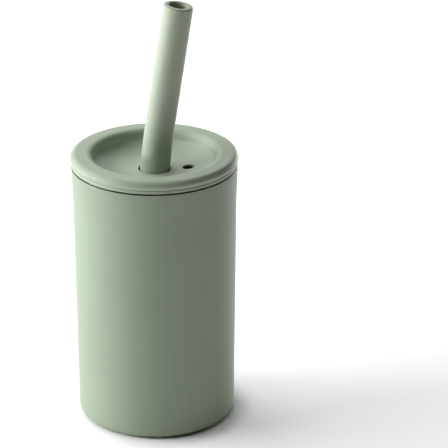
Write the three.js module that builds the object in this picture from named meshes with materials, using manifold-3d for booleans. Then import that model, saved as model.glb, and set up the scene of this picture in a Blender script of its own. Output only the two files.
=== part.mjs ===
// Insulated straw tumbler: a double-walled steel cup, a press-on lid with a dished top, and a
// thick straw that leans through the middle of the lid.
//
// Units are millimetres and +Z is up. The origin is the centre of the foot pad's underside. The
// straw leans towards +X, and the vent hole lies on the same side.

import * as THREE from 'three';
import { mergeVertices } from 'three/addons/utils/BufferGeometryUtils.js';
import Module from 'manifold-3d';

const wasm = await Module();
wasm.setup();

// ---------------------------------------------------------------- driving dimensions

const GAP = 0.3;                 // clearance kept between neighbouring pieces
const CUP_HEIGHT = 106.9;        // foot to the top edge of the cup
const CUP_TOP_RADIUS = 33.1;
const CUP_BASE_RADIUS = 31.68;   // just above the rounded bottom edge
const CUP_EDGE_FILLET = 4.8;
const CUP_FLARE = 0.35;          // how much the cup opens outwards just under its top edge
const CUP_FLARE_HEIGHT = 15;
const WALL = 0.7;                // sheet steel
const VACUUM_SPACE = 1.6;        // between the two walls
const LID_RADIUS = 33.5;
const LID_RISE = 5.15;           // cup's top edge to the top of the bead
const DISH_FLOOR = CUP_HEIGHT - 1.8;
const STRAW_RADIUS = 5.9;
const STRAW_BORE = 3.6;          // radius
const STRAW_TILT = THREE.MathUtils.degToRad(5.5);      // inside the cup
const STRAW_TOP_TILT = THREE.MathUtils.degToRad(8.7);  // above the bend
const STRAW_BEND_LENGTH = 22;    // the bend starts at the dish floor
const STRAW_ABOVE_LID = 68.6;    // along the straw, dish floor to tip
const STRAW_TRAVEL = 12;         // how far the straw pulls up before its collar stops it

const FINE = 60;                 // facets round the pieces that show
const COARSE = 36;               // facets round the hidden ones

// ---------------------------------------------------------------- materials

const SAGE = 0xa3afa1;

function material(color, roughness, metalness) {
  return new THREE.MeshStandardMaterial({ color, roughness, metalness });
}

const sagePowderCoat = () => material(SAGE, 0.55, 0.0);
const sageSilicone = () => material(SAGE, 0.6, 0.0);
const clearRubber = () => material(0xd9dbd6, 0.5, 0.0);
const steel = () => material(0xb9babb, 0.3, 1.0);
const copper = () => material(0xb87352, 0.3, 1.0);
const getterMetal = () => material(0x6c6d70, 0.6, 0.9);

// ---------------------------------------------------------------- shape helpers

// Turns a closed outline of [radius, height] points, listed anticlockwise, round the Z axis.
function turned(outline, facets) {
  const points = outline.map(([radius, height]) => new THREE.Vector2(radius, height));
  const touchesAxis = outline[0][0] === 0;
  if (!touchesAxis) {
    points.push(points[0].clone());
  }
  return new THREE.LatheGeometry(points, facets).rotateX(Math.PI / 2);
}

// Points of an elliptic arc about [r, z], from one angle to another in degrees.
function arc([r, z], [radiusR, radiusZ], from, to, steps) {
  return Array.from({ length: steps + 1 }, (_, step) => {
    const angle = THREE.MathUtils.degToRad(from + ((to - from) * step) / steps);
    return [r + radiusR * Math.cos(angle), z + radiusZ * Math.sin(angle)];
  });
}

// Welds a geometry's shared vertices and drops what boolean operations don't use.
function welded(geometry) {
  const plain = geometry.clone();
  plain.deleteAttribute('normal');
  plain.deleteAttribute('uv');
  return mergeVertices(plain, 1e-4);
}

function toSolid(geometry) {
  const closed = welded(geometry);
  const index = Array.from(closed.index.array);
  const triangles = [];
  for (let i = 0; i < index.length; i += 3) {
    const [a, b, c] = index.slice(i, i + 3);
    if (a !== b && b !== c && c !== a) {
      triangles.push(a, b, c);
    }
  }
  const mesh = new wasm.Mesh({
    numProp: 3,
    vertProperties: Float32Array.from(closed.attributes.position.array),
    triVerts: Uint32Array.from(triangles),
  });
  return new wasm.Manifold(mesh);
}

function toGeometry(solid) {
  const mesh = solid.getMesh();
  const geometry = new THREE.BufferGeometry();
  geometry.setAttribute('position', new THREE.BufferAttribute(mesh.vertProperties, 3));
  geometry.setIndex(new THREE.BufferAttribute(mesh.triVerts, 1));
  geometry.computeVertexNormals();
  return geometry;
}

function cutAway(geometry, ...cutters) {
  const solid = cutters.reduce(
    (left, cutter) => left.subtract(toSolid(cutter)),
    toSolid(geometry),
  );
  return toGeometry(solid);
}

function piece(name, geometry, surface) {
  const mesh = new THREE.Mesh(geometry, surface);
  mesh.name = name;
  return mesh;
}

// ---------------------------------------------------------------- cup

// The cup's even taper, which the inner walls follow.
function taperRadiusAt(height) {
  const along = (height - CUP_EDGE_FILLET) / (CUP_HEIGHT - CUP_EDGE_FILLET);
  return THREE.MathUtils.lerp(CUP_BASE_RADIUS, CUP_TOP_RADIUS - CUP_FLARE, along);
}

// The outside of the cup: the taper with a slight flare under the top edge.
function cupRadiusAt(height) {
  const flare = THREE.MathUtils.smoothstep(height, CUP_HEIGHT - CUP_FLARE_HEIGHT, CUP_HEIGHT);
  return taperRadiusAt(height) + CUP_FLARE * flare;
}

// Heights of the rings that follow the flare, bottom to top, as far as the rim's rounding.
function flareHeights() {
  const start = CUP_HEIGHT - CUP_FLARE_HEIGHT;
  return [0, 0.25, 0.5, 0.75, 1].map((share) => start + share * (CUP_FLARE_HEIGHT - 1));
}

const SHELL_UNDERSIDE = GAP;                       // the foot pad stands this much lower
const SHELL_OPENING = 26.0;                        // radius of the hole in the shell's underside
const LINER_OFFSET = WALL + VACUUM_SPACE;          // cup surface to the liner's outer face
const LINER_FLOOR = 8.7;
const LINER_CORNER = 6;

function outerShell() {
  const fillet = CUP_EDGE_FILLET;
  const cornerRadius = CUP_BASE_RADIUS - fillet;
  const cornerHeight = SHELL_UNDERSIDE + fillet;
  const rimRound = 0.35;
  const outline = [
    [SHELL_OPENING, SHELL_UNDERSIDE],
    ...arc([cornerRadius, cornerHeight], [fillet, fillet], -90, 0, 6),
    ...flareHeights().map((height) => [cupRadiusAt(height), height]),
    [CUP_TOP_RADIUS, CUP_HEIGHT - rimRound],
    [CUP_TOP_RADIUS - rimRound, CUP_HEIGHT],
    [CUP_TOP_RADIUS - WALL, CUP_HEIGHT],
    ...flareHeights().reverse().map((height) => [cupRadiusAt(height) - WALL, height]),
    ...arc([cornerRadius, cornerHeight], [fillet - WALL, fillet - WALL], 0, -90, 4),
    [SHELL_OPENING, SHELL_UNDERSIDE + WALL],
  ];
  return piece('outer_shell', turned(outline, FINE), sagePowderCoat());
}

function linerOuterRadiusAt(height) {
  return taperRadiusAt(height) - LINER_OFFSET;
}

// The liner's top flares outwards and meets the shell's edge as a rolled lip.
function innerLiner() {
  const lipRadius = CUP_TOP_RADIUS - WALL - GAP;
  const lipTop = CUP_HEIGHT - 0.1;
  const flareStart = CUP_HEIGHT - 3.2;
  const bottomHeight = LINER_FLOOR + LINER_CORNER;
  const cornerRadius = linerOuterRadiusAt(bottomHeight) - LINER_CORNER;
  const underside = LINER_FLOOR - WALL;
  const outside = LINER_CORNER;
  const outline = [
    [0, underside],
    ...arc([cornerRadius, underside + outside], [outside, outside], -90, 0, 4),
    [linerOuterRadiusAt(flareStart), flareStart],
    [lipRadius, flareStart + 1.5],
    [lipRadius, lipTop - 0.3],
    [lipRadius - 0.3, lipTop],
    [lipRadius - WALL, lipTop],
    [lipRadius - WALL - 0.2, lipTop - 0.3],
    [linerOuterRadiusAt(flareStart) - WALL, flareStart + 0.4],
    ...arc([cornerRadius, underside + outside], [outside - WALL, outside - WALL], 0, -90, 4),
    [0, LINER_FLOOR],
  ];
  return piece('inner_liner', turned(outline, FINE), steel());
}

function heatShieldFoil() {
  const thickness = 0.25;
  const bottom = 16;
  const top = CUP_HEIGHT - 8;
  const innerAt = (height) => linerOuterRadiusAt(height) + GAP;
  const outline = [
    [innerAt(bottom), bottom],
    [innerAt(bottom) + thickness, bottom],
    [innerAt(top) + thickness, top],
    [innerAt(top), top],
  ];
  return piece('heat_shield_foil', turned(outline, COARSE), copper());
}

const CAP_RADIUS = SHELL_OPENING - GAP;
const CAP_UNDERSIDE = 1.3;
const CAP_THICKNESS = 0.6;
const BOTTOM_UNDERSIDE = CAP_UNDERSIDE + CAP_THICKNESS + GAP;
const BOTTOM_TOP = BOTTOM_UNDERSIDE + WALL;
const DIMPLE_RADIUS = 5;
const DIMPLE_RISE = 1.3;

// The inner bottom has a dimple with the pumping hole in its middle.
function shellBottom() {
  const holeRadius = 1;
  const slope = 1;
  const outline = [
    [holeRadius, BOTTOM_UNDERSIDE + DIMPLE_RISE],
    [DIMPLE_RADIUS, BOTTOM_UNDERSIDE + DIMPLE_RISE],
    [DIMPLE_RADIUS + slope, BOTTOM_UNDERSIDE],
    [CAP_RADIUS, BOTTOM_UNDERSIDE],
    [CAP_RADIUS, BOTTOM_TOP],
    [DIMPLE_RADIUS + slope, BOTTOM_TOP],
    [DIMPLE_RADIUS, BOTTOM_TOP + DIMPLE_RISE],
    [holeRadius, BOTTOM_TOP + DIMPLE_RISE],
  ];
  return piece('shell_bottom', turned(outline, COARSE), steel());
}

function vacuumSealBead() {
  const radius = DIMPLE_RADIUS - 1;
  const bottom = BOTTOM_UNDERSIDE;
  const top = BOTTOM_UNDERSIDE + DIMPLE_RISE - GAP;
  const outline = [
    [0, bottom],
    [radius - 0.6, bottom + 0.2],
    [radius, top - 0.3],
    [radius - 0.3, top],
    [0, top],
  ];
  return piece('vacuum_seal_bead', turned(outline, COARSE), getterMetal());
}

const GETTER_X = 14;
const GETTER_RADIUS = 4;
const GETTER_HEIGHT = 1.6;
const GETTER_BOTTOM = BOTTOM_TOP + GAP;

function getterPellet() {
  const geometry = new THREE.CylinderGeometry(GETTER_RADIUS, GETTER_RADIUS, GETTER_HEIGHT, 24);
  geometry.rotateX(Math.PI / 2);
  const pellet = piece('getter_pellet', geometry, getterMetal());
  pellet.position.set(GETTER_X, 0, GETTER_BOTTOM + GETTER_HEIGHT / 2);
  return pellet;
}

// A strap over the pellet, with a foot on each side of it.
function getterClip() {
  const thickness = 0.3;
  const width = 3;
  const footLength = 2;
  const inside = GETTER_RADIUS + GAP;
  const outside = inside + thickness;
  const roof = GETTER_HEIGHT + GAP;
  const outline = new THREE.Shape();
  outline.moveTo(-outside - footLength, 0);
  outline.lineTo(-inside, 0);
  outline.lineTo(-inside, roof);
  outline.lineTo(inside, roof);
  outline.lineTo(inside, 0);
  outline.lineTo(outside + footLength, 0);
  outline.lineTo(outside + footLength, thickness);
  outline.lineTo(outside, thickness);
  outline.lineTo(outside, roof + thickness);
  outline.lineTo(-outside, roof + thickness);
  outline.lineTo(-outside, thickness);
  outline.lineTo(-outside - footLength, thickness);
  outline.closePath();
  const geometry = new THREE.ExtrudeGeometry(outline, { depth: width, bevelEnabled: false });
  geometry.translate(0, 0, -width / 2).rotateX(Math.PI / 2).rotateZ(Math.PI / 2);
  const clip = piece('getter_clip', geometry, steel());
  clip.position.set(GETTER_X, 0, GETTER_BOTTOM);
  return clip;
}

// A shallow pan that closes the shell's underside and holds the foot pad.
function baseCap() {
  const rimWidth = 0.7;
  const top = CAP_UNDERSIDE + CAP_THICKNESS;
  const outline = [
    [0, CAP_UNDERSIDE],
    [CAP_RADIUS - rimWidth, CAP_UNDERSIDE],
    [CAP_RADIUS - rimWidth, SHELL_UNDERSIDE],
    [CAP_RADIUS, SHELL_UNDERSIDE],
    [CAP_RADIUS, top],
    [0, top],
  ];
  return piece('base_cap', turned(outline, FINE), sagePowderCoat());
}

function footPad() {
  const radius = CAP_RADIUS - 1;
  const thickness = CAP_UNDERSIDE - GAP;
  const edge = 0.3;
  const outline = [
    [0, 0],
    [radius - edge, 0],
    [radius, edge],
    [radius, thickness],
    [0, thickness],
  ];
  return piece('foot_pad', turned(outline, FINE), sageSilicone());
}

// ---------------------------------------------------------------- lid

const BAND_RADIUS = 33.05;       // the narrow band between the bead and the seam
const BAND_BOTTOM = CUP_HEIGHT + 0.4;
const BAND_TOP = CUP_HEIGHT + 1.8;
const BAND_INNER = 31.0;
const FLANGE_RADIUS = BAND_INNER - GAP;
const FLANGE_TOP = CUP_HEIGHT + 1.7;
const PLUG_OUTER = 28.4;
const PLUG_INNER = 27.0;
const PLUG_DEPTH = 11;
const GROOVE_DEPTH = 0.8;
const GROOVE_HEIGHT = 2.1;
const SEAL_OUTER = 29.3;         // just clear of the liner's wall
const SEAL_DROPS = { lid_seal_upper: 4.9, lid_seal_lower: 8.9 };  // below the cup's top edge

// The stiff core of the lid: a flange hidden under the bead, and the plug wall in the cup's mouth.
function lidCarrierRing() {
  const grooves = Object.values(SEAL_DROPS).sort((a, b) => b - a);
  const grooveOutline = (drop) => {
    const bottom = CUP_HEIGHT - drop - GROOVE_HEIGHT / 2;
    return [
      [PLUG_OUTER, bottom],
      [PLUG_OUTER - GROOVE_DEPTH, bottom],
      [PLUG_OUTER - GROOVE_DEPTH, bottom + GROOVE_HEIGHT],
      [PLUG_OUTER, bottom + GROOVE_HEIGHT],
    ];
  };
  const outline = [
    [PLUG_INNER, CUP_HEIGHT - PLUG_DEPTH],
    [PLUG_OUTER - 0.4, CUP_HEIGHT - PLUG_DEPTH],
    [PLUG_OUTER, CUP_HEIGHT - PLUG_DEPTH + 0.5],
    ...grooves.flatMap(grooveOutline),
    [PLUG_OUTER, BAND_BOTTOM],
    [FLANGE_RADIUS, BAND_BOTTOM],
    [FLANGE_RADIUS, FLANGE_TOP],
    [PLUG_INNER, FLANGE_TOP],
  ];
  return piece('lid_carrier_ring', turned(outline, FINE), sageSilicone());
}

// Each seal is a soft ring with a rounded lip that wipes the liner.
function lidSeal(name) {
  const inner = PLUG_OUTER - GROOVE_DEPTH + GAP;
  const middle = CUP_HEIGHT - SEAL_DROPS[name];
  const half = GROOVE_HEIGHT / 2 - GAP;
  const outline = [
    [inner, middle - half],
    [PLUG_OUTER, middle - half],
    ...arc([PLUG_OUTER, middle], [SEAL_OUTER - PLUG_OUTER, half], -60, 60, 4),
    [PLUG_OUTER, middle + half],
    [inner, middle + half],
  ];
  return piece(name, turned(outline, FINE), clearRubber());
}

const STRAW_HOLE_RADIUS = 6.4;
const VENT_X = 13.3;
const VENT_RADIUS = 2.2;
const DISH_THICKNESS = 2;
const DISH_CREASE_RADIUS = 23.8;
const DISH_CREASE_HEIGHT = CUP_HEIGHT + 1.8;
const BEAD_WAIST = CUP_HEIGHT + 3.0;   // where the bead is widest
const BEAD_SHOULDER = 31.0;            // where its top starts to round over
const BEAD_CROWN = 29.3;
const SOCKET_INNER = 9.3;        // the ring under the dish that holds the grommet
const SOCKET_OUTER = 10.6;
const SOCKET_LIP = 8.4;
const SOCKET_BOTTOM = DISH_FLOOR - 7.3;
const SOCKET_LIP_HEIGHT = 0.8;

// The dish is nearly flat round the holes and curls up to the crease at the foot of the bead.
function dishHeightAt(radius) {
  const rise = DISH_CREASE_HEIGHT - DISH_FLOOR;
  return DISH_FLOOR + rise * (radius / DISH_CREASE_RADIUS) ** 4;
}

function lidTop() {
  const top = CUP_HEIGHT + LID_RISE;
  const underside = FLANGE_TOP + GAP;
  const dishUnderside = DISH_FLOOR - DISH_THICKNESS;
  const dishRadii = [DISH_CREASE_RADIUS, 22, 20, 17.5, 14.5, 11];
  const outline = [
    [STRAW_HOLE_RADIUS, dishUnderside],
    [SOCKET_INNER, dishUnderside],
    [SOCKET_INNER, SOCKET_BOTTOM + SOCKET_LIP_HEIGHT],
    [SOCKET_LIP, SOCKET_BOTTOM + SOCKET_LIP_HEIGHT],
    [SOCKET_LIP, SOCKET_BOTTOM],
    [SOCKET_OUTER, SOCKET_BOTTOM],
    [SOCKET_OUTER, dishUnderside],
    [16, dishUnderside + 0.3],
    [24.6, CUP_HEIGHT + 0.2],
    [26.4, underside],
    [BAND_INNER, underside],
    [BAND_INNER, BAND_BOTTOM],
    [BAND_RADIUS - 0.25, BAND_BOTTOM],
    [BAND_RADIUS, BAND_BOTTOM + 0.25],
    [BAND_RADIUS, BAND_TOP - 0.25],
    [BAND_RADIUS - 0.25, BAND_TOP],
    [BAND_RADIUS + 0.05, BAND_TOP + 0.25],
    ...arc(
      [BEAD_SHOULDER, BEAD_WAIST],
      [LID_RADIUS - BEAD_SHOULDER, top - BEAD_WAIST],
      0,
      90,
      5,
    ),
    [BEAD_CROWN, top],
    [27, top - 0.25],
    [25.3, top - 0.83],
    [24.4, top - 1.7],
    [23.9, top - 2.7],
    ...dishRadii.map((radius) => [radius, dishHeightAt(radius)]),
    [STRAW_HOLE_RADIUS, DISH_FLOOR],
  ];
  const vent = new THREE.CylinderGeometry(VENT_RADIUS, VENT_RADIUS, 10, 24);
  vent.rotateX(Math.PI / 2).translate(VENT_X, 0, DISH_FLOOR);
  const geometry = cutAway(turned(outline, FINE), vent);
  return piece('lid_top', geometry, sageSilicone());
}

// ---------------------------------------------------------------- straw

// The straw's centre crosses the dish floor a little to the +X side of the hole's centre.
const STRAW_START = new THREE.Vector3(0.2, 0, DISH_FLOOR);

function strawTiltAt(along) {
  const share = THREE.MathUtils.clamp(along / STRAW_BEND_LENGTH, 0, 1);
  return THREE.MathUtils.lerp(STRAW_TILT, STRAW_TOP_TILT, share);
}

// Centre of the straw at a distance along it from the dish floor, negative inside the cup.
function strawCentreAt(along) {
  const bent = THREE.MathUtils.clamp(along, 0, STRAW_BEND_LENGTH);
  const middleTilt = strawTiltAt(bent / 2);
  const straight = along - bent;
  const straightTilt = strawTiltAt(along);
  return STRAW_START.clone().add(
    new THREE.Vector3(
      bent * Math.sin(middleTilt) + straight * Math.sin(straightTilt),
      0,
      bent * Math.cos(middleTilt) + straight * Math.cos(straightTilt),
    ),
  );
}

// Moves a geometry turned round Z on to the straw's line: its Z becomes distance along the straw.
function alongStraw(geometry) {
  const position = geometry.attributes.position;
  for (let i = 0; i < position.count; i += 1) {
    const along = position.getZ(i);
    const sideways = position.getX(i);
    const tilt = strawTiltAt(along);
    const centre = strawCentreAt(along);
    const x = centre.x + sideways * Math.cos(tilt);
    const z = centre.z - sideways * Math.sin(tilt);
    position.setXYZ(i, x, position.getY(i), z);
  }
  geometry.computeVertexNormals();
  return geometry;
}

const GROMMET_OUTER = SOCKET_INNER - GAP;
const GROMMET_NECK = SOCKET_LIP - GAP;
const GROMMET_BOTTOM = SOCKET_BOTTOM - 0.8;

// A soft bush held in the lid's socket. Its bore is tilted, so it sets the straw's lean.
function strawGrommet() {
  const shoulder = SOCKET_BOTTOM + SOCKET_LIP_HEIGHT + GAP;
  const outline = [
    [0, GROMMET_BOTTOM],
    [GROMMET_NECK, GROMMET_BOTTOM],
    [GROMMET_NECK, shoulder],
    [GROMMET_OUTER, shoulder],
    [GROMMET_OUTER, DISH_FLOOR - DISH_THICKNESS - GAP],
    [0, DISH_FLOOR - DISH_THICKNESS - GAP],
  ];
  const boreRadius = STRAW_RADIUS + GAP;
  const bore = new THREE.CylinderGeometry(boreRadius, boreRadius, 30, COARSE);
  bore.rotateX(Math.PI / 2).rotateY(STRAW_TILT);
  const middle = strawCentreAt(-5);
  bore.translate(middle.x, 0, middle.z);
  const geometry = cutAway(turned(outline, COARSE), bore);
  return piece('straw_grommet', geometry, clearRubber());
}

const COLLAR_RADIUS = 8;
const COLLAR_THICKNESS = 2.4;
const COLLAR_TOP = -(DISH_FLOOR - GROMMET_BOTTOM) - STRAW_TRAVEL - 1.5;
const MOUTHPIECE_BOTTOM = COLLAR_TOP - 10;
const SOCKET_TOP = MOUTHPIECE_BOTTOM + 9;
const TUBE_OUTER = 4.0;
const TUBE_INNER = 3.0;

// Heights of the rings that follow the bend, bottom to top.
function bendStations() {
  return [0, 0.25, 0.5, 0.75, 1].map((share) => share * STRAW_BEND_LENGTH);
}

function strawMouthpiece() {
  const tip = STRAW_ABOVE_LID;
  const outerRound = 0.7;
  const innerRound = 0.5;
  const socket = TUBE_OUTER + GAP;
  const outline = [
    [socket, MOUTHPIECE_BOTTOM],
    [STRAW_RADIUS, MOUTHPIECE_BOTTOM],
    [STRAW_RADIUS, COLLAR_TOP - COLLAR_THICKNESS],
    [COLLAR_RADIUS, COLLAR_TOP - COLLAR_THICKNESS],
    [COLLAR_RADIUS, COLLAR_TOP - 0.8],
    [COLLAR_RADIUS - 0.8, COLLAR_TOP],
    [STRAW_RADIUS, COLLAR_TOP],
    ...bendStations().map((along) => [STRAW_RADIUS, along]),
    ...arc([STRAW_RADIUS - outerRound, tip - outerRound], [outerRound, outerRound], 0, 90, 3),
    ...arc([STRAW_BORE + innerRound, tip - innerRound], [innerRound, innerRound], 90, 180, 3),
    ...bendStations().reverse().map((along) => [STRAW_BORE, along]),
    [STRAW_BORE, SOCKET_TOP],
    [socket, SOCKET_TOP],
  ];
  const geometry = alongStraw(turned(outline, COARSE));
  return piece('straw_mouthpiece', geometry, sageSilicone());
}

// The lower tube reaches nearly to the liner's floor; its foot is cut level with the floor.
function strawTube() {
  const top = SOCKET_TOP - GAP;
  const footClearance = 0.5;
  const footHeight = LINER_FLOOR + footClearance;
  const bottom = -(DISH_FLOOR - footHeight) / Math.cos(STRAW_TILT) - 2;
  const outline = [
    [TUBE_INNER, bottom],
    [TUBE_OUTER, bottom],
    [TUBE_OUTER, top],
    [TUBE_INNER, top],
  ];
  const foot = strawCentreAt(bottom);
  const level = new THREE.BoxGeometry(20, 20, 10);
  level.translate(foot.x, 0, footHeight - 5);
  const notch = new THREE.CylinderGeometry(1.6, 1.6, 20, 16);
  notch.translate(foot.x, 0, footHeight);
  const geometry = cutAway(alongStraw(turned(outline, COARSE)), level, notch);
  return piece('straw_tube', geometry, clearRubber());
}

// ---------------------------------------------------------------- assembly

const cup = new THREE.Group();
cup.add(
  outerShell(),
  innerLiner(),
  heatShieldFoil(),
  shellBottom(),
  vacuumSealBead(),
  getterPellet(),
  getterClip(),
  baseCap(),
  footPad(),
);

const lid = new THREE.Group();
lid.add(lidTop(), lidCarrierRing(), ...Object.keys(SEAL_DROPS).map(lidSeal));

const straw = new THREE.Group();
straw.add(strawGrommet(), strawMouthpiece(), strawTube());

const tumbler = new THREE.Group();
tumbler.add(cup, lid, straw);

export default tumbler;
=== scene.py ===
"""The looks of the insulated straw tumbler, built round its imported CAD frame.

Lengths in the shape code are millimetres, as in the CAD source, and are turned into metres when
a mesh is made. Outlines are lists of (radius, height, rounding) corners, listed anticlockwise:
up the outside of a piece and down its inside.
"""

import math

import bmesh
import bpy
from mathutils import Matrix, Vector


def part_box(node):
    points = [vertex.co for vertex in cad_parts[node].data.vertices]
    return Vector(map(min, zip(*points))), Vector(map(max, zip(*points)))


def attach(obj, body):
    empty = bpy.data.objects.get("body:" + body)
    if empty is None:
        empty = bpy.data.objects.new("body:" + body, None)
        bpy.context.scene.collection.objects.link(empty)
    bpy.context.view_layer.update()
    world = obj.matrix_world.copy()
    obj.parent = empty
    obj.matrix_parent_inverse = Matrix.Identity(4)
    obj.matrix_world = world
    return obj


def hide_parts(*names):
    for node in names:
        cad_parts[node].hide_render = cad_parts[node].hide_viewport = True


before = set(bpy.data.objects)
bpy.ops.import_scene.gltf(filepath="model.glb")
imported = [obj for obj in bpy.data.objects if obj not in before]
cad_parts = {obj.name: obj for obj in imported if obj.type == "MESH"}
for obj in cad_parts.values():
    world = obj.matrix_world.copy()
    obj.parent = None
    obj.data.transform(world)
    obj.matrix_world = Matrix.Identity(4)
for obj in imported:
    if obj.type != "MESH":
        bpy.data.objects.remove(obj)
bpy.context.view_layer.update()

MM = 0.001
SEGMENTS = 256              # facets round a large piece
SMALL_SEGMENTS = 128        # facets round the straw and other slim pieces
VENT_SEGMENTS = 96
NOTCH_SEGMENTS = 48
ROUNDING_STEP = math.radians(9)
LONGEST_STEP = 2.5          # no stretch of an outline is longer than this
EDGE_SUPPORT = 0.25         # a ring this far from each rounding keeps flat faces flat
SHARP_ANGLE = math.radians(40)
SHORTEST_EDGE = 0.0002      # shorter ones, which cutting leaves behind, are dissolved


# ---------------------------------------------------------------- sizes from the frame

def low(node):
    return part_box(node)[0] / MM


def high(node):
    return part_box(node)[1] / MM


def radius(node):
    return high(node).y


CUP_TOP = high("outer_shell").z
CUP_BOTTOM = low("outer_shell").z
CUP_TOP_RADIUS = radius("outer_shell")
GAP = 0.3                            # clearance between neighbouring pieces
WALL = 0.7
CUP_TAPER = 1.07 / 102.1             # radius gained for each unit of height
CUP_FLARE = 0.35                     # extra radius gained just under the top edge
CUP_FLARE_HEIGHT = 15.0
CUP_EDGE_ROUNDING = 4.8
SHELL_OPENING = radius("base_cap") + GAP
LINER_OFFSET = 2.3                   # cup surface to the liner's outer face
LINER_FLOOR = low("inner_liner").z + WALL
LINER_CORNER = 6.0
LID_TOP = high("lid_top").z
LID_RADIUS = radius("lid_top")
LID_UNDERSIDE = high("lid_carrier_ring").z + GAP
BAND_RADIUS = 33.05                  # the narrow band between the bead and the seam
BAND_BOTTOM = CUP_TOP + 0.4
BAND_TOP = CUP_TOP + 1.8
BAND_INNER = 31.0
DISH_FLOOR = CUP_TOP - 1.8
DISH_RISE = 3.6                      # dish floor to the crease at the foot of the bead
DISH_CREASE_RADIUS = 23.8
DISH_THICKNESS = 2.0
PLUG_OUTER = 28.4                    # the plug's wall in the cup's mouth
PLUG_INNER = 27.0
GROOVE_DEPTH = 0.8                   # of the plug's grooves, which hold the seals
SOCKET_BOTTOM = low("lid_top").z     # the socket under the dish holds the straw's bush
SOCKET_INNER = radius("straw_grommet") + GAP
SOCKET_OUTER = SOCKET_INNER + 1.3
SOCKET_LIP = 8.4
SOCKET_LIP_HEIGHT = 0.8
STRAW_HOLE = 6.4
VENT_X = 13.3
VENT_RADIUS = 2.2
STRAW_RADIUS = 5.9
STRAW_BORE = 3.6
STRAW_START = Vector((0.2, 0.0, DISH_FLOOR))
STRAW_TILT = math.radians(5.5)
STRAW_TOP_TILT = math.radians(8.7)
COLLAR_RADIUS = 8.0
COLLAR_THICKNESS = 2.4

# Places along the straw, measured from the dish floor and negative inside the cup.
STRAW_BEND = 22.0                    # the bend ends here
STRAW_TIP = 68.6
COLLAR_TOP = -21.6
MOUTHPIECE_BOTTOM = COLLAR_TOP - 10
TUBE_TOP = MOUTHPIECE_BOTTOM + 8.7
TUBE_OUTER = 4.0
TUBE_INNER = 3.0


# ---------------------------------------------------------------- outlines

def corner_arc(before, corner, after, rounding):
    """Points of the arc that rounds one corner of an outline."""
    to_before = (before - corner).normalized()
    to_after = (after - corner).normalized()
    half = to_before.angle(to_after) / 2
    turn = math.pi - 2 * half
    if rounding <= 0 or turn < math.radians(1):
        return [corner]
    reach = rounding / math.tan(half)
    longest = 0.49 * min((before - corner).length, (after - corner).length)
    if reach > longest:
        rounding *= longest / reach
        reach = longest
    centre = corner + (to_before + to_after).normalized() * (rounding / math.sin(half))
    start = corner + to_before * reach - centre
    end = corner + to_after * reach - centre
    steps = max(2, math.ceil(turn / ROUNDING_STEP))
    sweep = start.angle_signed(end)
    points = []
    for step in range(steps + 1):
        angle = -sweep * step / steps
        spoke = Vector((
            start.x * math.cos(angle) - start.y * math.sin(angle),
            start.x * math.sin(angle) + start.y * math.cos(angle),
        ))
        points.append(centre + spoke)
    return points


def divided(start, end):
    """Points between two ends of a straight stretch, closer together beside the ends."""
    length = (end - start).length
    if length < 3 * EDGE_SUPPORT:
        return []
    inner = length - 2 * EDGE_SUPPORT
    count = max(1, math.ceil(inner / LONGEST_STEP))
    distances = [EDGE_SUPPORT + inner * step / count for step in range(count + 1)]
    return [start.lerp(end, distance / length) for distance in distances]


def rounded(corners, closed=True):
    """The full outline of a list of (across, up, rounding) corners."""
    places = [Vector(corner[:2]) for corner in corners]
    count = len(corners)
    runs = []
    for i, corner in enumerate(corners):
        if not closed and i in (0, count - 1):
            runs.append([places[i]])
            continue
        runs.append(corner_arc(places[i - 1], places[i], places[(i + 1) % count], corner[2]))
    outline = []
    for i, run in enumerate(runs):
        outline += run
        if closed or i < count - 1:
            outline += divided(run[-1], runs[(i + 1) % count][0])
    return outline


# ---------------------------------------------------------------- meshes

def smooth(mesh):
    mesh.shade_smooth()
    mesh.set_sharp_from_angle(angle=SHARP_ANGLE)


def new_object(name, mesh_data):
    """A smooth-shaded object from a bmesh made in millimetres."""
    bmesh.ops.scale(mesh_data, vec=(MM, MM, MM), verts=mesh_data.verts)
    bmesh.ops.recalc_face_normals(mesh_data, faces=mesh_data.faces)
    mesh = bpy.data.meshes.new(name)
    mesh_data.to_mesh(mesh)
    mesh_data.free()
    smooth(mesh)
    piece = bpy.data.objects.new(name, mesh)
    bpy.context.scene.collection.objects.link(piece)
    return piece


def turned(name, corners, segments=SEGMENTS, place=None):
    """An outline turned round the Z axis. An outline that starts on the axis also ends there.

    place moves each point, given in millimetres, such as on to the straw's line."""
    solid = corners[0][0] == 0
    outline = rounded(corners, closed=not solid)
    made = bmesh.new()
    rings = []
    for point in outline:
        if point.x < 1e-6:
            rings.append([made.verts.new((0, 0, point.y))])
            continue
        ring = []
        for step in range(segments):
            angle = 2 * math.pi * step / segments
            ring.append(made.verts.new((
                point.x * math.cos(angle),
                point.x * math.sin(angle),
                point.y,
            )))
        rings.append(ring)
    pairs = list(zip(rings, rings[1:]))
    if not solid:
        pairs.append((rings[-1], rings[0]))
    for first, second in pairs:
        for step in range(segments):
            after = (step + 1) % segments
            around = [
                first[step % len(first)],
                first[after % len(first)],
                second[after % len(second)],
                second[step % len(second)],
            ]
            made.faces.new(list(dict.fromkeys(around)))
    if place:
        for vertex in made.verts:
            vertex.co = place(vertex.co)
    return new_object(name, made)


def prism(name, corners, depth, place):
    """A rounded outline in the YZ plane, extruded along X about its middle, then moved."""
    outline = rounded(corners)
    made = bmesh.new()
    ends = []
    for x in (-depth / 2, depth / 2):
        ends.append([made.verts.new((x, point.x, point.y)) for point in outline])
    made.faces.new(ends[0])
    made.faces.new(ends[1])
    for i in range(len(outline)):
        after = (i + 1) % len(outline)
        made.faces.new((ends[0][i], ends[0][after], ends[1][after], ends[1][i]))
    for vertex in made.verts:
        vertex.co += place
    return new_object(name, made)


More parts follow.
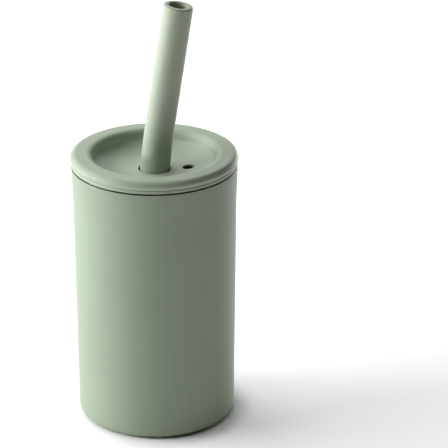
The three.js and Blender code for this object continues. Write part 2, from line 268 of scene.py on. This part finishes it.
def cut(piece, *cutters):
    """Cuts the closed meshes of the cutters out of a piece and removes the cutters."""
    for cutter in cutters:
        difference = piece.modifiers.new("cut", "BOOLEAN")
        difference.operation = "DIFFERENCE"
        difference.solver = "EXACT"
        difference.object = cutter
    bpy.context.view_layer.update()
    evaluated = piece.evaluated_get(bpy.context.evaluated_depsgraph_get())
    mesh = bpy.data.meshes.new_from_object(evaluated)
    piece.modifiers.clear()
    cleaned = bmesh.new()
    cleaned.from_mesh(mesh)
    bmesh.ops.dissolve_degenerate(cleaned, dist=SHORTEST_EDGE * MM, edges=cleaned.edges)
    cleaned.to_mesh(mesh)
    cleaned.free()
    old = piece.data
    piece.data = mesh
    bpy.data.meshes.remove(old)
    mesh.name = piece.name
    smooth(mesh)
    for cutter in cutters:
        bpy.data.meshes.remove(cutter.data)
    return piece


# ---------------------------------------------------------------- cup

def taper_radius(height):
    """The cup's even taper, which its inner walls follow."""
    return CUP_TOP_RADIUS - CUP_FLARE - (CUP_TOP - height) * CUP_TAPER


def cup_radius(height):
    """The outside of the cup: the taper with a slight flare under the top edge."""
    share = min(1.0, max(0.0, 1 - (CUP_TOP - height) / CUP_FLARE_HEIGHT))
    return taper_radius(height) + CUP_FLARE * share * share * (3 - 2 * share)


def outer_shell():
    inside_bottom = CUP_BOTTOM + WALL
    steps = 24
    flare = [CUP_TOP - CUP_FLARE_HEIGHT * (1 - step / steps) for step in range(steps)]
    return turned("cup_wall", [
        (SHELL_OPENING, CUP_BOTTOM, 0.2),
        (cup_radius(CUP_BOTTOM), CUP_BOTTOM, CUP_EDGE_ROUNDING),
        *[(cup_radius(height), height, 0) for height in flare],
        (CUP_TOP_RADIUS, CUP_TOP, 0.2),
        (CUP_TOP_RADIUS - WALL, CUP_TOP, 0.1),
        *[(cup_radius(height) - WALL, height, 0) for height in reversed(flare)],
        (cup_radius(inside_bottom) - WALL, inside_bottom, CUP_EDGE_ROUNDING - WALL),
        (SHELL_OPENING, inside_bottom, 0.2),
    ])


def inner_liner():
    lip = CUP_TOP_RADIUS - WALL - GAP
    lip_top = high("inner_liner").z
    flare = lip_top - 3.1
    underside = LINER_FLOOR - WALL
    outer = taper_radius(underside) - LINER_OFFSET
    flare_outer = taper_radius(flare) - LINER_OFFSET
    return turned("steel_liner", [
        (0, underside, 0),
        (outer, underside, LINER_CORNER),
        (flare_outer, flare, 1.5),
        (lip, flare + 1.5, 1.0),
        (lip, lip_top, 0.34),
        (lip - WALL, lip_top, 0.34),
        (lip - WALL, lip_top - 1.1, 1.0),
        (flare_outer - WALL, flare + 0.4, 1.5),
        (outer - WALL, LINER_FLOOR, LINER_CORNER - WALL),
        (0, LINER_FLOOR, 0),
    ])


def heat_shield_foil():
    bottom = low("heat_shield_foil").z
    top = high("heat_shield_foil").z
    thickness = 0.25
    inner_low = taper_radius(bottom) - LINER_OFFSET + GAP
    inner_high = taper_radius(top) - LINER_OFFSET + GAP
    return turned("copper_foil", [
        (inner_low, bottom, 0.05),
        (inner_low + thickness, bottom, 0.05),
        (inner_high + thickness, top, 0.05),
        (inner_high, top, 0.05),
    ])


def shell_bottom():
    bottom = low("shell_bottom").z
    outer = radius("shell_bottom")
    hole = 1.0
    dimple = 5.0
    dimple_foot = 6.0
    rise = 1.3
    return turned("vacuum_bottom", [
        (hole, bottom + rise, 0.1),
        (dimple, bottom + rise, 0.5),
        (dimple_foot, bottom, 0.7),
        (outer, bottom, 0.1),
        (outer, bottom + WALL, 0.1),
        (dimple_foot, bottom + WALL, 0.5),
        (dimple, bottom + WALL + rise, 0.7),
        (hole, bottom + WALL + rise, 0.1),
    ])


def vacuum_seal_bead():
    bottom = low("vacuum_seal_bead").z
    top = high("vacuum_seal_bead").z
    outer = radius("vacuum_seal_bead")
    return turned("seal_bead", [
        (0, bottom, 0),
        (outer, bottom + 0.15, 0.45),
        (outer, top, 0.2),
        (0, top, 0),
    ], SMALL_SEGMENTS)


def beside_axis(node):
    """The middle of a node that doesn't lie on the cup's axis, at its own underside."""
    middle = (low(node) + high(node)) / 2
    return Vector((middle.x, middle.y, low(node).z))


def getter_pellet():
    place = beside_axis("getter_pellet")
    outer = radius("getter_pellet")
    height = high("getter_pellet").z - place.z
    return turned("getter", [
        (0, 0, 0),
        (outer, 0, 0.25),
        (outer, height, 0.25),
        (0, height, 0),
    ], SMALL_SEGMENTS, lambda point: point + place)


def getter_clip():
    place = beside_axis("getter_clip")
    thickness = 0.3
    foot_length = 2.0
    outside = radius("getter_clip")
    leg = outside - foot_length
    inside = leg - thickness
    roof = high("getter_clip").z - place.z - thickness
    width = high("getter_clip").x - low("getter_clip").x
    half = [
        (inside, 0, 0.1),
        (outside, 0, 0.1),
        (outside, thickness, 0.1),
        (leg, thickness, 0.3),
        (leg, roof + thickness, 0.5),
    ]
    other_half = [(-across, up, rounding) for across, up, rounding in reversed(half)]
    roof_line = [(-inside, roof, 0.3), (inside, roof, 0.3)]
    return prism("getter_strap", half + other_half + roof_line, width, place)


def base_cap():
    bottom = low("base_cap").z
    top = high("base_cap").z
    outer = radius("base_cap")
    rim = 0.7
    recess_depth = 1.0
    recess = bottom + recess_depth
    return turned("base_plate", [
        (0, recess, 0),
        (outer - rim, recess, 0.2),
        (outer - rim, bottom, 0.2),
        (outer, bottom, 0.2),
        (outer, top, 0.2),
        (0, top, 0),
    ])


def foot_pad():
    outer = radius("foot_pad")
    top = high("foot_pad").z
    return turned("foot_disc", [
        (0, 0, 0),
        (outer, 0, 0.3),
        (outer, top, 0.1),
        (0, top, 0),
    ])


# ---------------------------------------------------------------- lid

def dish_height(across):
    return DISH_FLOOR + DISH_RISE * (across / DISH_CREASE_RADIUS) ** 4


def bead_corners():
    """The band over the seam, the groove above it and the bead, from the underside inwards."""
    waist = BAND_TOP + 1.2
    shoulder = 31.0
    rise = LID_TOP - waist
    reach = LID_RADIUS - shoulder
    crown_end = 26.4                 # from here the bead rolls down into the dish
    roll_middle = 24.8
    steps = 14
    angles = [math.pi / 2 * step / steps for step in range(steps + 1)]
    return [
        (BAND_INNER, LID_UNDERSIDE, 0.2),
        (BAND_INNER, BAND_BOTTOM, 0.2),
        (BAND_RADIUS, BAND_BOTTOM, 0.15),
        (BAND_RADIUS, BAND_TOP - 0.2, 0.25),
        (BAND_RADIUS - 0.3, BAND_TOP + 0.05, 0.2),
        (BAND_RADIUS + 0.1, BAND_TOP + 0.4, 0.3),
        *[(shoulder + reach * math.cos(a), waist + rise * math.sin(a), 0) for a in angles],
        (crown_end, LID_TOP + 0.01, 9.0),
        (roll_middle, LID_TOP - 0.8, 2.4),
        (DISH_CREASE_RADIUS, LID_TOP - 3.35, 0.8),
    ]


def dish_corners():
    """The dish, from just inside the crease to the straw hole."""
    steps = 16
    span = DISH_CREASE_RADIUS - 1 - STRAW_HOLE
    radii = [STRAW_HOLE + span * (1 - step / steps) for step in range(steps)]
    return [
        *[(across, dish_height(across), 0) for across in radii],
        (STRAW_HOLE, dish_height(STRAW_HOLE), 0.3),
    ]


def lid_top():
    dish_underside = DISH_FLOOR - DISH_THICKNESS
    lid = turned("lid", [
        (STRAW_HOLE, dish_underside, 0.3),
        (SOCKET_INNER, dish_underside, 0.2),
        (SOCKET_INNER, SOCKET_BOTTOM + SOCKET_LIP_HEIGHT, 0.1),
        (SOCKET_LIP, SOCKET_BOTTOM + SOCKET_LIP_HEIGHT, 0.2),
        (SOCKET_LIP, SOCKET_BOTTOM, 0.2),
        (SOCKET_OUTER, SOCKET_BOTTOM, 0.3),
        (SOCKET_OUTER, dish_underside, 0.5),
        (16.3, dish_underside + 0.2, 8.0),
        (24.6, CUP_TOP + 0.3, 2.0),
        (26.4, LID_UNDERSIDE, 0.5),
        *bead_corners(),
        *dish_corners(),
    ])
    return cut(lid, vent_cutter())


def vent_cutter():
    """A pin that flares at the dish's face, so that the vent hole gets a rounded edge."""
    reach = 6
    mouth = VENT_RADIUS + 2.05
    place = Vector((VENT_X, 0, dish_height(VENT_X)))
    return turned("vent_cutter", [
        (0, -reach, 0),
        (VENT_RADIUS, -reach, 0),
        (VENT_RADIUS, 0.1, 1.1),
        (mouth, 1.4, 0),
        (mouth, reach, 0),
        (0, reach, 0),
    ], VENT_SEGMENTS, lambda point: point + place)


def lid_carrier_ring():
    top = high("lid_carrier_ring").z
    bottom = low("lid_carrier_ring").z
    outer = radius("lid_carrier_ring")
    groove_floor = PLUG_OUTER - GROOVE_DEPTH
    grooves = []
    for seal in ("lid_seal_lower", "lid_seal_upper"):
        groove_low = low(seal).z - GAP
        groove_high = high(seal).z + GAP
        grooves += [
            (PLUG_OUTER, groove_low, 0.15),
            (groove_floor, groove_low, 0.15),
            (groove_floor, groove_high, 0.15),
            (PLUG_OUTER, groove_high, 0.15),
        ]
    return turned("lid_plug_ring", [
        (PLUG_INNER, bottom, 0.4),
        (PLUG_OUTER, bottom, 0.5),
        *grooves,
        (PLUG_OUTER, BAND_BOTTOM, 0.3),
        (outer, BAND_BOTTOM, 0.2),
        (outer, top, 0.25),
        (PLUG_INNER, top, 0.3),
    ])


def lid_seal(node):
    """A soft ring with a full rounded lip."""
    inner = PLUG_OUTER - GROOVE_DEPTH + GAP
    outer = radius(node)
    bottom = low(node).z
    top = high(node).z
    return turned(node.replace("lid_seal", "seal_ring"), [
        (inner, bottom, 0.15),
        (outer, bottom + 0.1, 0.62),
        (outer, top - 0.1, 0.62),
        (inner, top, 0.15),
    ])


# ---------------------------------------------------------------- straw

def straw_tilt(along):
    """The straw's lean at a distance along it, measured from the dish floor."""
    share = min(1.0, max(0.0, along / STRAW_BEND))
    return STRAW_TILT + (STRAW_TOP_TILT - STRAW_TILT) * share


def straw_centre(along):
    bent = min(STRAW_BEND, max(0.0, along))
    middle_tilt = straw_tilt(bent / 2)
    straight = along - bent
    tilt = straw_tilt(along)
    return STRAW_START + Vector((
        bent * math.sin(middle_tilt) + straight * math.sin(tilt),
        0,
        bent * math.cos(middle_tilt) + straight * math.cos(tilt),
    ))


def on_straw(point):
    """Takes a point turned round Z on to the straw's line; its height is distance along it."""
    tilt = straw_tilt(point.z)
    across = Vector((math.cos(tilt), 0, -math.sin(tilt)))
    return straw_centre(point.z) + across * point.x + Vector((0, point.y, 0))


def straw_grommet():
    bottom = low("straw_grommet").z
    top = high("straw_grommet").z
    outer = radius("straw_grommet")
    neck = SOCKET_LIP - GAP
    shoulder = SOCKET_BOTTOM + SOCKET_LIP_HEIGHT + GAP
    bush = turned("straw_bush", [
        (0, bottom, 0),
        (neck, bottom, 0.4),
        (neck, shoulder, 0.2),
        (outer, shoulder, 0.3),
        (outer, top, 0.3),
        (0, top, 0),
    ])
    bore_radius = STRAW_RADIUS + GAP
    bore_start = -20                 # both are places along the straw, beyond the bush's ends
    bore_end = -0.1
    bore = turned("bore_cutter", [
        (0, bore_start, 0),
        (bore_radius, bore_start, 0),
        (bore_radius, bore_end, 0),
        (0, bore_end, 0),
    ], SMALL_SEGMENTS, on_straw)
    return cut(bush, bore)


def straw_mouthpiece():
    socket = TUBE_OUTER + GAP
    socket_end = TUBE_TOP + GAP
    return turned("straw_upper", [
        (socket, MOUTHPIECE_BOTTOM, 0.4),
        (STRAW_RADIUS, MOUTHPIECE_BOTTOM, 0.5),
        (STRAW_RADIUS, COLLAR_TOP - COLLAR_THICKNESS, 0.3),
        (COLLAR_RADIUS, COLLAR_TOP - COLLAR_THICKNESS, 0.6),
        (COLLAR_RADIUS, COLLAR_TOP, 1.0),
        (STRAW_RADIUS, COLLAR_TOP, 0.3),
        (STRAW_RADIUS, STRAW_TIP, 0.7),
        (STRAW_BORE, STRAW_TIP, 0.5),
        (STRAW_BORE, socket_end, 0.2),
        (socket, socket_end, 0.1),
    ], SMALL_SEGMENTS, on_straw)


def straw_tube():
    """The lower tube. Its foot is level with the liner's floor and has a notch across it."""
    foot = low("straw_tube").z
    bottom = -(DISH_FLOOR - foot) / math.cos(STRAW_TILT)
    edge = 0.25
    levelled_length = 4              # the slant of the foot fades out over this length

    def levelled(point):
        nearness = max(0.0, 1 - (point.z - bottom) / levelled_length)
        along = point.z + nearness * point.x * math.tan(STRAW_TILT)
        return on_straw(Vector((point.x, point.y, along)))

    tube = turned("straw_lower", [
        (TUBE_INNER, bottom, edge),
        (TUBE_OUTER, bottom, edge),
        (TUBE_OUTER, TUBE_TOP, edge),
        (TUBE_INNER, TUBE_TOP, edge),
    ], SMALL_SEGMENTS, levelled)
    middle = straw_centre(bottom)
    notch_radius = 1.6
    reach = 10
    notch = turned("notch_cutter", [
        (0, -reach, 0),
        (notch_radius, -reach, 0),
        (notch_radius, reach, 0),
        (0, reach, 0),
    ], NOTCH_SEGMENTS, lambda point: Vector((middle.x + point.x, point.z, foot + point.y)))
    return cut(tube, notch)


# ---------------------------------------------------------------- materials

COAT_SAGE = (0.257, 0.316, 0.229)
LID_SAGE = (0.330, 0.396, 0.298)
STRAW_SAGE = (0.360, 0.414, 0.318)
# near-black of the painted shade in the seam under the lid and on the walls of the lid's two holes
PAINTED_SHADE = (0.012, 0.014, 0.011)
PALER = 1.03                         # how far the sage pieces' mottling goes each way
DARKER = 0.97


def node_material(name, roughness, metallic=0.0):
    """A material with a Principled shader, and the tools to add nodes to it."""
    material = bpy.data.materials.new(name)
    material.use_nodes = True
    tree = material.node_tree
    shader = next(node for node in tree.nodes if node.type == "BSDF_PRINCIPLED")
    shader.inputs["Roughness"].default_value = roughness
    shader.inputs["Metallic"].default_value = metallic
    return material, tree, shader


def add(tree, kind, **settings):
    node = tree.nodes.new(kind)
    for name, value in settings.items():
        if name in node.inputs:
            node.inputs[name].default_value = value
        else:
            setattr(node, name, value)
    return node


def place_coordinates(tree, stretch=(1, 1, 1), shift=(0, 0, 0)):
    """Object coordinates in millimetres, stretched per axis and then shifted."""
    coordinates = add(tree, "ShaderNodeTexCoord")
    mapping = add(tree, "ShaderNodeMapping")
    mapping.inputs["Scale"].default_value = [axis / MM for axis in stretch]
    mapping.inputs["Location"].default_value = shift
    tree.links.new(coordinates.outputs["Object"], mapping.inputs["Vector"])
    return mapping.outputs["Vector"]


def noise(tree, where, wavelength, detail=2.0, rough=0.5):
    """A noise field between 0 and 1 whose features are about a wavelength (mm) across."""
    field = add(tree, "ShaderNodeTexNoise", Scale=1 / wavelength, Detail=detail, Roughness=rough)
    tree.links.new(where, field.inputs["Vector"])
    return field.outputs["Fac"]


def ranged(tree, value, from_low, from_high, to_low, to_high):
    """A value mapped from one range to another, and kept inside it."""
    node = add(tree, "ShaderNodeMapRange")
    for name, number in (
        ("From Min", from_low),
        ("From Max", from_high),
        ("To Min", to_low),
        ("To Max", to_high),
    ):
        node.inputs[name].default_value = number
    tree.links.new(value, node.inputs["Value"])
    return node.outputs["Result"]


def mixed(tree, share, first, second):
    """Two colours mixed by a share between 0 and 1. Either may be a socket."""
    node = add(tree, "ShaderNodeMix", data_type="RGBA")
    for name, colour in (("A", first), ("B", second)):
        socket = next(s for s in node.inputs if s.name == name and s.type == "RGBA")
        if isinstance(colour, bpy.types.NodeSocket):
            tree.links.new(colour, socket)
        else:
            socket.default_value = (*colour, 1.0)
    tree.links.new(share, node.inputs["Factor"])
    return next(s for s in node.outputs if s.type == "RGBA")


def bump(tree, shader, *layers):
    """Stacks bump layers, each a (height field, depth in millimetres), on a shader."""
    normal = None
    for height, depth in layers:
        node = add(tree, "ShaderNodeBump", Strength=1.0, Distance=depth * MM)
        tree.links.new(height, node.inputs["Height"])
        if normal:
            tree.links.new(normal, node.inputs["Normal"])
        normal = node.outputs["Normal"]
    tree.links.new(normal, shader.inputs["Normal"])


def varied(tree, field, least, most):
    """A noise field stretched over a range, so that its usual lows and highs reach the ends."""
    return ranged(tree, field, 0.3, 0.7, least, most)


def finish(tree, shader, tone, roughness):
    tree.links.new(tone, shader.inputs["Base Color"])
    tree.links.new(roughness, shader.inputs["Roughness"])


def shade(colour, factor):
    return tuple(channel * factor for channel in colour)


def height_above_floor(tree):
    """A point's height in the shared frame, in millimetres."""
    split = add(tree, "ShaderNodeSeparateXYZ")
    tree.links.new(place_coordinates(tree), split.inputs["Vector"])
    return split.outputs["Z"]


def distance_from(tree, x):
    """A point's level distance from the upright line through (x, 0), in millimetres."""
    length = add(tree, "ShaderNodeVectorMath", operation="LENGTH")
    where = place_coordinates(tree, (1, 1, 0), (-x, 0, 0))
    tree.links.new(where, length.inputs[0])
    return length.outputs["Value"]


def both(tree, first, second):
    """The product of two shares."""
    node = add(tree, "ShaderNodeMath", operation="MULTIPLY")
    tree.links.new(first, node.inputs[0])
    tree.links.new(second, node.inputs[1])
    return node.outputs["Value"]


def lid_painted_shade(tree):
    """Painted shade on the lid: under the band, and on the walls of its two holes."""
    up = height_above_floor(tree)
    wall_bottom = DISH_FLOOR - 0.5   # painted shade fades out from here up to the holes' edges
    under_band = both(
        tree,
        ranged(tree, up, BAND_BOTTOM + 0.06, BAND_BOTTOM + 0.18, 1.0, 0.0),
        ranged(tree, distance_from(tree, 0), BAND_INNER + 0.2, BAND_INNER + 0.6, 0.0, 1.0),
    )
    in_straw_hole = both(
        tree,
        ranged(tree, up, wall_bottom, DISH_FLOOR - 0.1, 1.0, 0.0),
        ranged(tree, distance_from(tree, 0), STRAW_HOLE + 0.03, STRAW_HOLE + 0.15, 1.0, 0.0),
    )
    in_vent = both(
        tree,
        ranged(tree, up, wall_bottom, DISH_FLOOR + 0.1, 1.0, 0.0),
        ranged(tree, distance_from(tree, VENT_X), VENT_RADIUS + 0.05, VENT_RADIUS + 0.4, 1.0, 0.0),
    )
    return under_band, in_straw_hole, in_vent


def sage_powder_coat():
    """Baked powder paint: fine orange peel, tiny specks, a satin shine and painted shade on the
    top edge, in the seam under the lid.
    """
    material, tree, shader = node_material("sage_powder_coat", 0.5)
    shader.inputs["Specular IOR Level"].default_value = 0.5
    where = place_coordinates(tree)
    cloud = noise(tree, where, 22, 3.0)
    peel = noise(tree, where, 0.9, 1.0)
    speck = noise(tree, where, 0.22, 1.0)
    dark = shade(COAT_SAGE, DARKER)
    tone = mixed(tree, varied(tree, cloud, 0.0, 1.0), dark, shade(COAT_SAGE, PALER))
    specks = ranged(tree, speck, 0.62, 0.78, 0.0, 0.35)
    tone = mixed(tree, specks, tone, dark)
    up = height_above_floor(tree)
    # painted shade: the top edge is darkened where the seam under the lid lies in shadow
    seam_shade = ranged(tree, up, CUP_TOP - 0.22, CUP_TOP - 0.08, 0.0, 1.0)
    tone = mixed(tree, seam_shade, tone, PAINTED_SHADE)
    finish(tree, shader, tone, varied(tree, cloud, 0.46, 0.56))
    bump(tree, shader, (peel, 0.012), (speck, 0.004))
    return material


def sage_silicone(name, sage, painted_shade_places=None):
    """Soft matte silicone with a powdery bloom and a very fine moulded grain.

    The last argument, if given, is a function that gives the places, as shares between 0 and 1,
    that are darkened with painted shade."""
    material, tree, shader = node_material(name, 0.58)
    shader.inputs["Specular IOR Level"].default_value = 0.45
    shader.inputs["Sheen Weight"].default_value = 0.08
    shader.inputs["Sheen Roughness"].default_value = 0.5
    shader.inputs["Subsurface Weight"].default_value = 0.15
    shader.inputs["Subsurface Radius"].default_value = (0.0012, 0.0014, 0.0011)
    where = place_coordinates(tree)
    cloud = noise(tree, where, 16, 3.0)
    grain = noise(tree, where, 0.3, 2.0)
    share = varied(tree, cloud, 0.0, 1.0)
    tone = mixed(tree, share, shade(sage, DARKER), shade(sage, PALER))
    if painted_shade_places:
        # painted shade: the places that the function gives are darkened to near-black
        for place in painted_shade_places(tree):
            tone = mixed(tree, place, tone, PAINTED_SHADE)
    finish(tree, shader, tone, varied(tree, cloud, 0.52, 0.64))
    bump(tree, shader, (grain, 0.005))
    return material


def turned_steel():
    """Stainless steel with the fine rings that turning and polishing leave."""
    material, tree, shader = node_material("turned_steel", 0.4, 0.85)
    rings = noise(tree, place_coordinates(tree, (0.002, 0.002, 1.0)), 0.35, 3.0, 0.7)
    cloud = noise(tree, place_coordinates(tree), 14, 2.0)
    tone = mixed(tree, rings, (0.70, 0.70, 0.71), (0.84, 0.84, 0.85))
    finish(tree, shader, tone, varied(tree, cloud, 0.36, 0.44))
    bump(tree, shader, (rings, 0.0015))
    return material


def copper_foil():
    """Thin bright foil with soft wrinkles."""
    material, tree, shader = node_material("copper_foil", 0.25, 1.0)
    where = place_coordinates(tree)
    wrinkle = noise(tree, where, 4, 4.0, 0.6)
    tone = mixed(tree, wrinkle, (0.60, 0.28, 0.16), (0.78, 0.42, 0.26))
    finish(tree, shader, tone, varied(tree, wrinkle, 0.18, 0.36))
    bump(tree, shader, (wrinkle, 0.12))
    return material


def sintered_metal():
    """The getter's pressed grey powder."""
    material, tree, shader = node_material("sintered_metal", 0.7, 0.8)
    where = place_coordinates(tree)
    grains = noise(tree, where, 0.25, 3.0, 0.7)
    tone = mixed(tree, grains, (0.10, 0.10, 0.11), (0.24, 0.24, 0.25))
    finish(tree, shader, tone, varied(tree, grains, 0.55, 0.85))
    bump(tree, shader, (grains, 0.04))
    return material


def milky_silicone():
    """Uncoloured silicone, cloudy and slightly see-through."""
    material, tree, shader = node_material("milky_silicone", 0.45)
    shader.inputs["Subsurface Weight"].default_value = 0.4
    shader.inputs["Subsurface Radius"].default_value = (0.002, 0.002, 0.0018)
    where = place_coordinates(tree)
    cloud = noise(tree, where, 6, 3.0)
    grain = noise(tree, where, 0.3, 2.0)
    tone = mixed(tree, cloud, (0.66, 0.68, 0.65), (0.76, 0.77, 0.74))
    finish(tree, shader, tone, varied(tree, cloud, 0.38, 0.52))
    bump(tree, shader, (grain, 0.005))
    return material


def milky_plastic():
    """Natural polypropylene for the lower tube."""
    material, tree, shader = node_material("milky_plastic", 0.3)
    shader.inputs["Subsurface Weight"].default_value = 0.5
    shader.inputs["Subsurface Radius"].default_value = (0.003, 0.003, 0.0028)
    where = place_coordinates(tree, (1, 1, 0.1))
    streaks = noise(tree, where, 1.5, 2.0)
    tone = mixed(tree, streaks, (0.68, 0.71, 0.69), (0.78, 0.80, 0.78))
    finish(tree, shader, tone, varied(tree, streaks, 0.24, 0.38))
    bump(tree, shader, (streaks, 0.01))
    return material


# ---------------------------------------------------------------- assembly

def dress():
    """Builds every piece, gives it its material and makes it ride on its CAD body."""
    coat = sage_powder_coat()
    lid_soft = sage_silicone("sage_silicone_lid", LID_SAGE, lid_painted_shade)
    plug_soft = sage_silicone("sage_silicone_plain", LID_SAGE)
    straw_soft = sage_silicone("sage_silicone_straw", STRAW_SAGE)
    steel = turned_steel()
    foil = copper_foil()
    sintered = sintered_metal()
    milky = milky_silicone()
    plastic = milky_plastic()
    pieces = [
        ("outer_shell", outer_shell(), "cup", "shell_coat", coat),
        ("base_cap", base_cap(), "cup", "shell_coat", coat),
        ("inner_liner", inner_liner(), "cup", "liner_steel", steel),
        ("shell_bottom", shell_bottom(), "cup", "liner_steel", steel),
        ("heat_shield_foil", heat_shield_foil(), "cup", "foil_copper", foil),
        ("getter_pellet", getter_pellet(), "cup", "getter_metal", sintered),
        ("vacuum_seal_bead", vacuum_seal_bead(), "cup", "getter_metal", sintered),
        ("getter_clip", getter_clip(), "cup", "clip_steel", steel),
        ("foot_pad", foot_pad(), "cup", "foot_silicone", plug_soft),
        ("lid_top", lid_top(), "lid", "lid_silicone", lid_soft),
        ("lid_carrier_ring", lid_carrier_ring(), "lid", "lid_plastic", plug_soft),
        ("lid_seal_upper", lid_seal("lid_seal_upper"), "lid_seals", "seal_silicone", milky),
        ("lid_seal_lower", lid_seal("lid_seal_lower"), "lid_seals", "seal_silicone", milky),
        ("straw_grommet", straw_grommet(), "bush", "seal_silicone", milky),
        ("straw_mouthpiece", straw_mouthpiece(), "straw", "straw_silicone", straw_soft),
        ("straw_tube", straw_tube(), "straw", "tube_plastic", plastic),
    ]
    for node, piece, body, slot, material in pieces:
        piece.data.materials.append(material)
        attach(piece, body)
        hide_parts(node)


# ---------------------------------------------------------------- stage

GLOW = 0.26                          # the table's own light
GLOW_START = 31                      # it starts this far from the cup's axis, in millimetres
GLOW_FULL = 40
FLOOR_HALF = 3.0                     # from here on in metres
LIGHT_DISTANCE = 1.2
LIGHT_AIM = Vector((0, 0, 0.07))
CAMERA_PLACE = (0, -1.0125, 0.5138)
CAMERA_DOWN = math.radians(23.158)
CAMERA_TURN = math.radians(1.562)
SENSOR_WIDTH = 36.0                  # in millimetres, like the focal length
FOCAL_LENGTH = 220.74


def pale_floor():
    """A white table that glows faintly, so that shadows stay pale, but not under the cup."""
    material, tree, shader = node_material("pale_floor", 0.9)
    shader.inputs["Specular IOR Level"].default_value = 0.1
    shader.inputs["Emission Color"].default_value = (1.0, 1.0, 1.0, 1.0)
    glow = ranged(tree, distance_from(tree, 0), GLOW_START, GLOW_FULL, 0.0, GLOW)
    tree.links.new(glow, shader.inputs["Emission Strength"])
    where = place_coordinates(tree)
    cloud = noise(tree, where, 300, 2.0)
    tone = mixed(tree, cloud, (0.94, 0.94, 0.94), (0.96, 0.96, 0.96))
    tree.links.new(tone, shader.inputs["Base Color"])
    return material


def floor():
    half = FLOOR_HALF
    made = bmesh.new()
    corners = [(-half, -half), (half, -half), (half, half), (-half, half)]
    made.faces.new([made.verts.new((x, y, 0)) for x, y in corners])
    mesh = bpy.data.meshes.new("floor")
    made.to_mesh(mesh)
    made.free()
    plane = bpy.data.objects.new("floor", mesh)
    plane.data.materials.append(pale_floor())
    bpy.context.scene.collection.objects.link(plane)


def softbox(name, azimuth, elevation, width, height, power):
    """A soft light aimed at the cup. Azimuth 0 is in front of it and 90 on its right."""
    turn = math.radians(azimuth)
    rise = math.radians(elevation)
    towards = Vector((
        math.sin(turn) * math.cos(rise),
        -math.cos(turn) * math.cos(rise),
        math.sin(rise),
    ))
    light = bpy.data.lights.new(name, "AREA")
    light.shape = "RECTANGLE"
    light.size = width
    light.size_y = height
    light.energy = power
    lamp = bpy.data.objects.new(name, light)
    lamp.location = LIGHT_AIM + towards * LIGHT_DISTANCE
    lamp.rotation_mode = "QUATERNION"
    lamp.rotation_quaternion = (-towards).to_track_quat("-Z", "Y")
    lamp.visible_camera = False
    bpy.context.scene.collection.objects.link(lamp)


def sky(strength):
    world = bpy.data.worlds.new("studio")
    world.use_nodes = True
    background = next(node for node in world.node_tree.nodes if node.type == "BACKGROUND")
    background.inputs["Color"].default_value = (1.0, 1.0, 1.0, 1.0)
    background.inputs["Strength"].default_value = strength
    bpy.context.scene.world = world


def camera():
    """A long lens in front of the cup and well above it, turned very slightly to its right."""
    forward = Vector((
        math.sin(CAMERA_TURN) * math.cos(CAMERA_DOWN),
        math.cos(CAMERA_TURN) * math.cos(CAMERA_DOWN),
        -math.sin(CAMERA_DOWN),
    ))
    lens = bpy.data.cameras.new("camera")
    lens.sensor_width = SENSOR_WIDTH
    lens.lens = FOCAL_LENGTH
    eye = bpy.data.objects.new("camera", lens)
    eye.location = CAMERA_PLACE
    eye.rotation_mode = "QUATERNION"
    eye.rotation_quaternion = forward.to_track_quat("-Z", "Y")
    bpy.context.scene.collection.objects.link(eye)
    bpy.context.scene.camera = eye


dress()
floor()
softbox("key_left", -88, 28, 0.80, 0.36, 11.4)
softbox("low_left", -97, 4, 0.62, 0.16, 9.4)
softbox("high_back_left", -138, 44, 0.80, 0.38, 7.4)
softbox("back", 180, 26, 0.62, 0.32, 2.7)
softbox("low_back_right", 150, -1, 0.62, 0.09, 10.4)
softbox("front_top", 10, 76, 0.62, 0.42, 1.6)
sky(0.02)
camera()
bpy.context.scene.view_settings.view_transform = "Standard"
